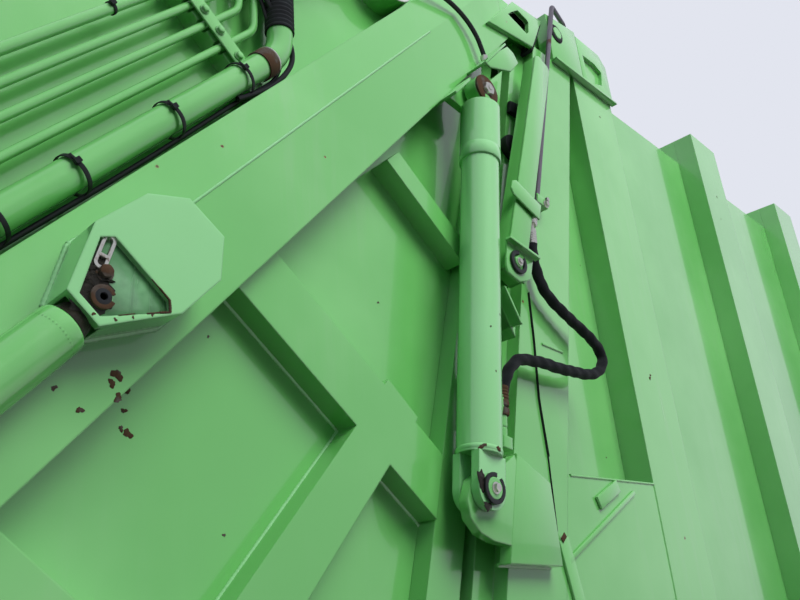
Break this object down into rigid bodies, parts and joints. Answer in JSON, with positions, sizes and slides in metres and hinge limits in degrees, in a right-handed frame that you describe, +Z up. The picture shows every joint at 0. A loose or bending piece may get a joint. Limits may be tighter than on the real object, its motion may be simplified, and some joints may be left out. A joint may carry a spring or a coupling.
{
  "type": "rear-loading refuse compactor body with tailgate",
  "caption": "Ribbed refuse compactor body with a lifting rear-loading tailgate, lift and slide cylinders, sweep panel and ejector wall.",
  "frame": {"origin": "middle of the underside of the subframe's middle cross-member, where the body sits on a truck chassis", "axes": "+X to the truck's front, +Y to its left, +Z up"},
  "size_m": [6.4102, 2.552, 3.044],
  "materials": {
    "green_paint": "glossy, weathered",
    "steel_grey": "dull",
    "black_sleeve": "woven sleeve",
    "rod_chrome": "ground",
    "wear_steel": "worn"
  },
  "bodies": {
    "compactor_body": {"subframe_channels": "green_paint", "cross_members": "green_paint", "fish_plates": "green_paint", "body_floor": "green_paint", "body_wall_right": "green_paint", "body_wall_left": "green_paint", "body_roof": "green_paint", "front_wall": "green_paint", "side_ribs_right": "green_paint", "side_ribs_left": "green_paint", "roof_ribs": "green_paint", "rear_post_right": "green_paint", "rear_post_left": "green_paint", "rear_header": "green_paint", "rear_sill": "green_paint", "hinge_bearings": "green_paint", "corner_boxes": "green_paint", "lift_brackets": "green_paint", "closing_panels": "green_paint", "prop_brackets": "green_paint", "post_pipes": "steel_grey", "lift_hoses": "black_sleeve", "hinge_ledges": "green_paint", "prop_clips": "green_paint"},
    "prop_right": {"safety_prop_right": "green_paint"},
    "prop_left": {"safety_prop_left": "green_paint"},
    "lift_cylinder_right": {"lift_barrel_right": "green_paint", "lift_port_right": "steel_grey"},
    "lift_cylinder_left": {"lift_barrel_left": "green_paint", "lift_port_left": "steel_grey"},
    "lift_piston_right": {"lift_rod_right": "rod_chrome"},
    "lift_piston_left": {"lift_rod_left": "rod_chrome"},
    "tailgate": {"tailgate_side_right": "green_paint", "tailgate_side_left": "green_paint", "tailgate_roof": "green_paint", "hopper_trough": "wear_steel", "loading_sill": "green_paint", "guide_beam_right": "green_paint", "guide_beam_left": "green_paint", "side_braces": "green_paint", "gate_posts": "green_paint", "hinge_arms": "green_paint", "anchor_brackets": "green_paint", "slide_rods": "rod_chrome", "gate_pipes_right": "green_paint", "gate_pipes_left": "green_paint", "pipe_clamps": "green_paint", "valve_blocks": "steel_grey", "work_lamps": "green_paint", "lift_hoods": "green_paint"},
    "carriage": {"carriage": "green_paint", "carriage_arms": "green_paint", "slide_barrels": "green_paint"},
    "sweep": {"sweep_panel": "wear_steel"},
    "ejector": {"ejector_wall": "wear_steel"}
  },
  "joints": [
    {"name": "tailgate_hinge", "type": "hinge", "parent": "compactor_body", "child": "tailgate", "pos_m": [-1.337, 0, 2.47], "axis": [0, 1, 0], "range_deg": [0, 65]},
    {"name": "carriage_slide", "type": "slide", "parent": "tailgate", "child": "carriage", "axis": [-0.6691, 0, -0.7431], "range_m": [0, 0.42]},
    {"name": "sweep_hinge", "type": "hinge", "parent": "carriage", "child": "sweep", "pos_m": [-2.95897, 0, 0.67212], "axis": [0, 1, 0], "range_deg": [0, 115]},
    {"name": "ejector_slide", "type": "slide", "parent": "compactor_body", "child": "ejector", "axis": [-1, 0, 0], "range_m": [0, 3.4]},
    {"name": "lift_right_pivot", "type": "hinge", "parent": "compactor_body", "child": "lift_cylinder_right", "pos_m": [-2.106, -1.212, 0.779], "axis": [0, 1, 0], "range_deg": [-9.6, 0], "deforming": ["lift_hoses"]},
    {"name": "lift_right_stroke", "type": "slide", "parent": "lift_cylinder_right", "child": "lift_piston_right", "axis": [0.182, 0, 0.9833], "range_m": [0, 0.806]},
    {"name": "prop_right_pin", "type": "hinge", "parent": "compactor_body", "child": "prop_right", "pos_m": [-1.898, -1.22, 1.361], "axis": [0, -1, 0], "range_deg": [0, 7]},
    {"name": "lift_left_pivot", "type": "hinge", "parent": "compactor_body", "child": "lift_cylinder_left", "pos_m": [-2.106, 1.212, 0.779], "axis": [0, 1, 0], "range_deg": [-9.6, 0]},
    {"name": "lift_left_stroke", "type": "slide", "parent": "lift_cylinder_left", "child": "lift_piston_left", "axis": [0.182, 0, 0.9833], "range_m": [0, 0.806]},
    {"name": "prop_left_pin", "type": "hinge", "parent": "compactor_body", "child": "prop_left", "pos_m": [-1.898, 1.22, 1.361], "axis": [0, -1, 0], "range_deg": [0, 7]}
  ],
  "couplings": [
    {"joint": "lift_right_pivot", "follows": "tailgate_hinge", "ratio": -0.14615},
    {"joint": "lift_right_stroke", "follows": "tailgate_hinge", "m_per_rad": 0.7094},
    {"joint": "lift_left_pivot", "follows": "tailgate_hinge", "ratio": -0.14615},
    {"joint": "lift_left_stroke", "follows": "tailgate_hinge", "m_per_rad": 0.7094}
  ]
}
